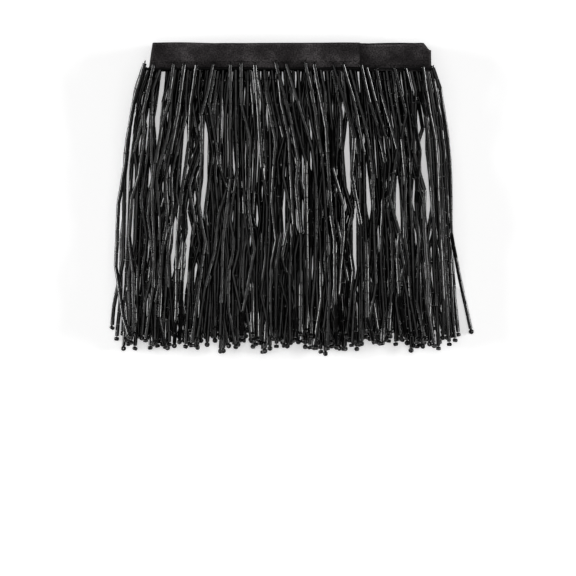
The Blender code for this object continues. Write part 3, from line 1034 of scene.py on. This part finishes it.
def satin_material():
    """Black satin: painted sheen patches times grain times the painted edge shade and highlight, over the
    weave's two waves.
    """
    made, nodes, links, shader = new_material("black_satin")
    uv = nodes.new("ShaderNodeUVMap")
    uv.uv_map = "surface"
    patches = add_node(nodes, "TexNoise", Scale=60, Detail=3, Roughness=0.6)
    links.new(uv.outputs["UV"], patches.inputs["Vector"])
    grain = add_node(nodes, "TexNoise", Scale=1300, Detail=1)
    links.new(uv.outputs["UV"], grain.inputs["Vector"])
    # Painted sheen: the patches make the base colour lighter and darker.
    ramp = colour_ramp(nodes, [(0.34, (0.0164, 0.0145, 0.0151)),
                               (0.50, (0.0302, 0.0272, 0.0282)),
                               (0.62, (0.0570, 0.0520, 0.0536))])
    links.new(patches.outputs["Fac"], ramp.inputs["Fac"])
    speckled = nodes.new("ShaderNodeVectorMath")
    speckled.operation = "SCALE"
    links.new(ramp.outputs["Color"], speckled.inputs[0])
    mottle = map_range(nodes, links, grain.outputs["Fac"], 1 - GRAIN, 1 + GRAIN, 0.3, 0.7)
    links.new(mottle, speckled.inputs["Scale"])
    # Painted shade and highlight from the edge rows, and painted shade on the inner turns.
    edge = nodes.new("ShaderNodeAttribute")
    edge.attribute_name = "tone"
    shade = nodes.new("ShaderNodeVectorMath")
    shade.operation = "SCALE"
    links.new(speckled.outputs["Vector"], shade.inputs[0])
    links.new(map_range(nodes, links, edge.outputs["Fac"], 0.2, 1.8), shade.inputs["Scale"])
    links.new(shade.outputs["Vector"], shader.inputs["Base Color"])
    links.new(map_range(nodes, links, patches.outputs["Fac"], 0.62, 0.42), shader.inputs["Roughness"])
    shader.inputs["Sheen Weight"].default_value = 0.01
    shader.inputs["Sheen Roughness"].default_value = 0.4
    shader.inputs["Specular IOR Level"].default_value = 0.03
    both = nodes.new("ShaderNodeMath")
    both.operation = "MULTIPLY_ADD"
    both.inputs[1].default_value = WARP_SHARE
    for direction, pitch, socket in (("X", WEFT_PITCH, 2), ("Y", WARP_PITCH, 0)):
        wave = add_node(nodes, "TexWave", Scale=BAND_SCALE / pitch, Distortion=0.6, Detail=1.0)
        wave.bands_direction = direction
        links.new(uv.outputs["UV"], wave.inputs["Vector"])
        links.new(wave.outputs["Fac"], both.inputs[socket])
    weave = add_node(nodes, "Bump", Strength=0.3, Distance=0.00004)
    links.new(both.outputs[0], weave.inputs["Height"])
    crumple = add_node(nodes, "Bump", Strength=0.6, Distance=0.0006)
    links.new(patches.outputs["Fac"], crumple.inputs["Height"])
    links.new(weave.outputs["Normal"], crumple.inputs["Normal"])
    links.new(crumple.outputs["Normal"], shader.inputs["Normal"])
    return made


def thread_material():
    """Dull black thread: a fine noise for its fibres, in the colour and in the bump."""
    made, nodes, links, shader = new_material("black_thread")
    place = nodes.new("ShaderNodeTexCoord")
    fibre = add_node(nodes, "TexNoise", Scale=2500)
    ramp = colour_ramp(nodes, [(0.35, (0.0015, 0.0015, 0.0015)), (0.7, (0.0060, 0.0055, 0.0055))])
    links.new(place.outputs["Object"], fibre.inputs["Vector"])
    links.new(fibre.outputs["Fac"], ramp.inputs["Fac"])
    links.new(ramp.outputs["Color"], shader.inputs["Base Color"])
    shader.inputs["Roughness"].default_value = 0.7
    shader.inputs["Specular IOR Level"].default_value = 0.15
    bump = add_node(nodes, "Bump", Strength=0.4, Distance=0.00005)
    links.new(fibre.outputs["Fac"], bump.inputs["Height"])
    links.new(bump.outputs["Normal"], shader.inputs["Normal"])
    return made


ribbon.data.materials.append(satin_material())
thread_look = thread_material()
threads.data.materials.append(thread_look)
stitches.data.materials.append(thread_look)

# %% [markdown]
# ## The table, the light and the camera
#
# The trim lies on a plain white table and is seen from straight above. Glossy black beads show only what
# they mirror: a broad dim light overhead leaves a dull grey face down each bead, and a low light on
# either side draws the thin lines. A round bead turns a light near the horizon into a line close to its
# edge. The low lights are short along the strands, so that beads which tip up or down lose their line.
# The table glows a little, as a light table does, and a strip high above lights it through the slits
# between the strands. The rest of the room is nearly dark, so that the beads stay black between.

# %% The table
TABLE_SIZE = 6.0


def white_table():
    """A flat square far larger than the trim, white and glowing a little."""
    mesh = bpy.data.meshes.new("floor")
    half = TABLE_SIZE / 2
    mesh.from_pydata([(-half, -half, 0), (half, -half, 0), (half, half, 0), (-half, half, 0)], [],
                     [(0, 1, 2, 3)])
    made, nodes, links, shader = new_material("white_table")
    shader.inputs["Base Color"].default_value = (0.90, 0.90, 0.90, 1)
    shader.inputs["Emission Color"].default_value = (1, 1, 1, 1)
    shader.inputs["Emission Strength"].default_value = 0.43
    shader.inputs["Roughness"].default_value = 0.9
    shader.inputs["Specular IOR Level"].default_value = 0.1
    mesh.materials.append(made)
    table = bpy.data.objects.new("floor", mesh)
    bpy.context.scene.collection.objects.link(table)
    return table


white_table()

# %% The lights


def soft_light(name, place, aim, width, length, strength):
    """A rectangle of light of even brightness; strength is watts for every square metre of it."""
    data = bpy.data.lights.new(name, "AREA")
    data.shape = "RECTANGLE"
    data.size = width
    data.size_y = length
    data.energy = strength * width * length
    lamp = bpy.data.objects.new(name, data)
    lamp.location = place
    lamp.rotation_euler = (Vector(aim) - Vector(place)).to_track_quat("-Z", "Y").to_euler()
    lamp.visible_camera = False
    bpy.context.scene.collection.objects.link(lamp)
    return lamp


MIDDLE = (0.0, -0.085, 0.0)
SIDE_CENTRE = 0.05
SIDE_WIDTH = 1.1
SIDE_RISE = 0.34
SIDE_STRENGTH = 104.0
soft_light("roof", (0.0, -0.085, 2.2), MIDDLE, 4.0, 2.6, 2.1)
soft_light("middle_strip", (0.0, -0.085, 4.0), MIDDLE, 0.46, 5.0, 5.0)
for name, across, height in (("left_strip", -2.3, 0.66), ("right_strip", 2.3, 0.70)):
    soft_light(name, (across, SIDE_CENTRE, height), (0.0, SIDE_CENTRE, 0.0),
               SIDE_WIDTH, SIDE_RISE, SIDE_STRENGTH)
room = bpy.data.worlds.new("room")
room.use_nodes = True
room.node_tree.nodes["Background"].inputs["Color"].default_value = (1.0, 1.0, 1.0, 1)
room.node_tree.nodes["Background"].inputs["Strength"].default_value = 0.06
bpy.context.scene.world = room

# %% The camera
CAMERA_HEIGHT = 1.5
VIEW_WIDTH = 0.3097
VIEW_CENTRE = -0.1257
VIEW_LEVEL = 0.012
camera_data = bpy.data.cameras.new("camera")
camera_data.sensor_width = 36
camera_data.lens = 36 * (CAMERA_HEIGHT - VIEW_LEVEL) / VIEW_WIDTH
camera_data.clip_start = 0.05
camera_data.clip_end = 20
camera = bpy.data.objects.new("camera", camera_data)
camera.location = (0.0, VIEW_CENTRE, CAMERA_HEIGHT)
bpy.context.scene.collection.objects.link(camera)
bpy.context.scene.camera = camera
bpy.context.scene.view_settings.view_transform = "Standard"
bpy.context.scene.view_settings.look = "None"
print("lens", round(camera_data.lens, 1), "mm")
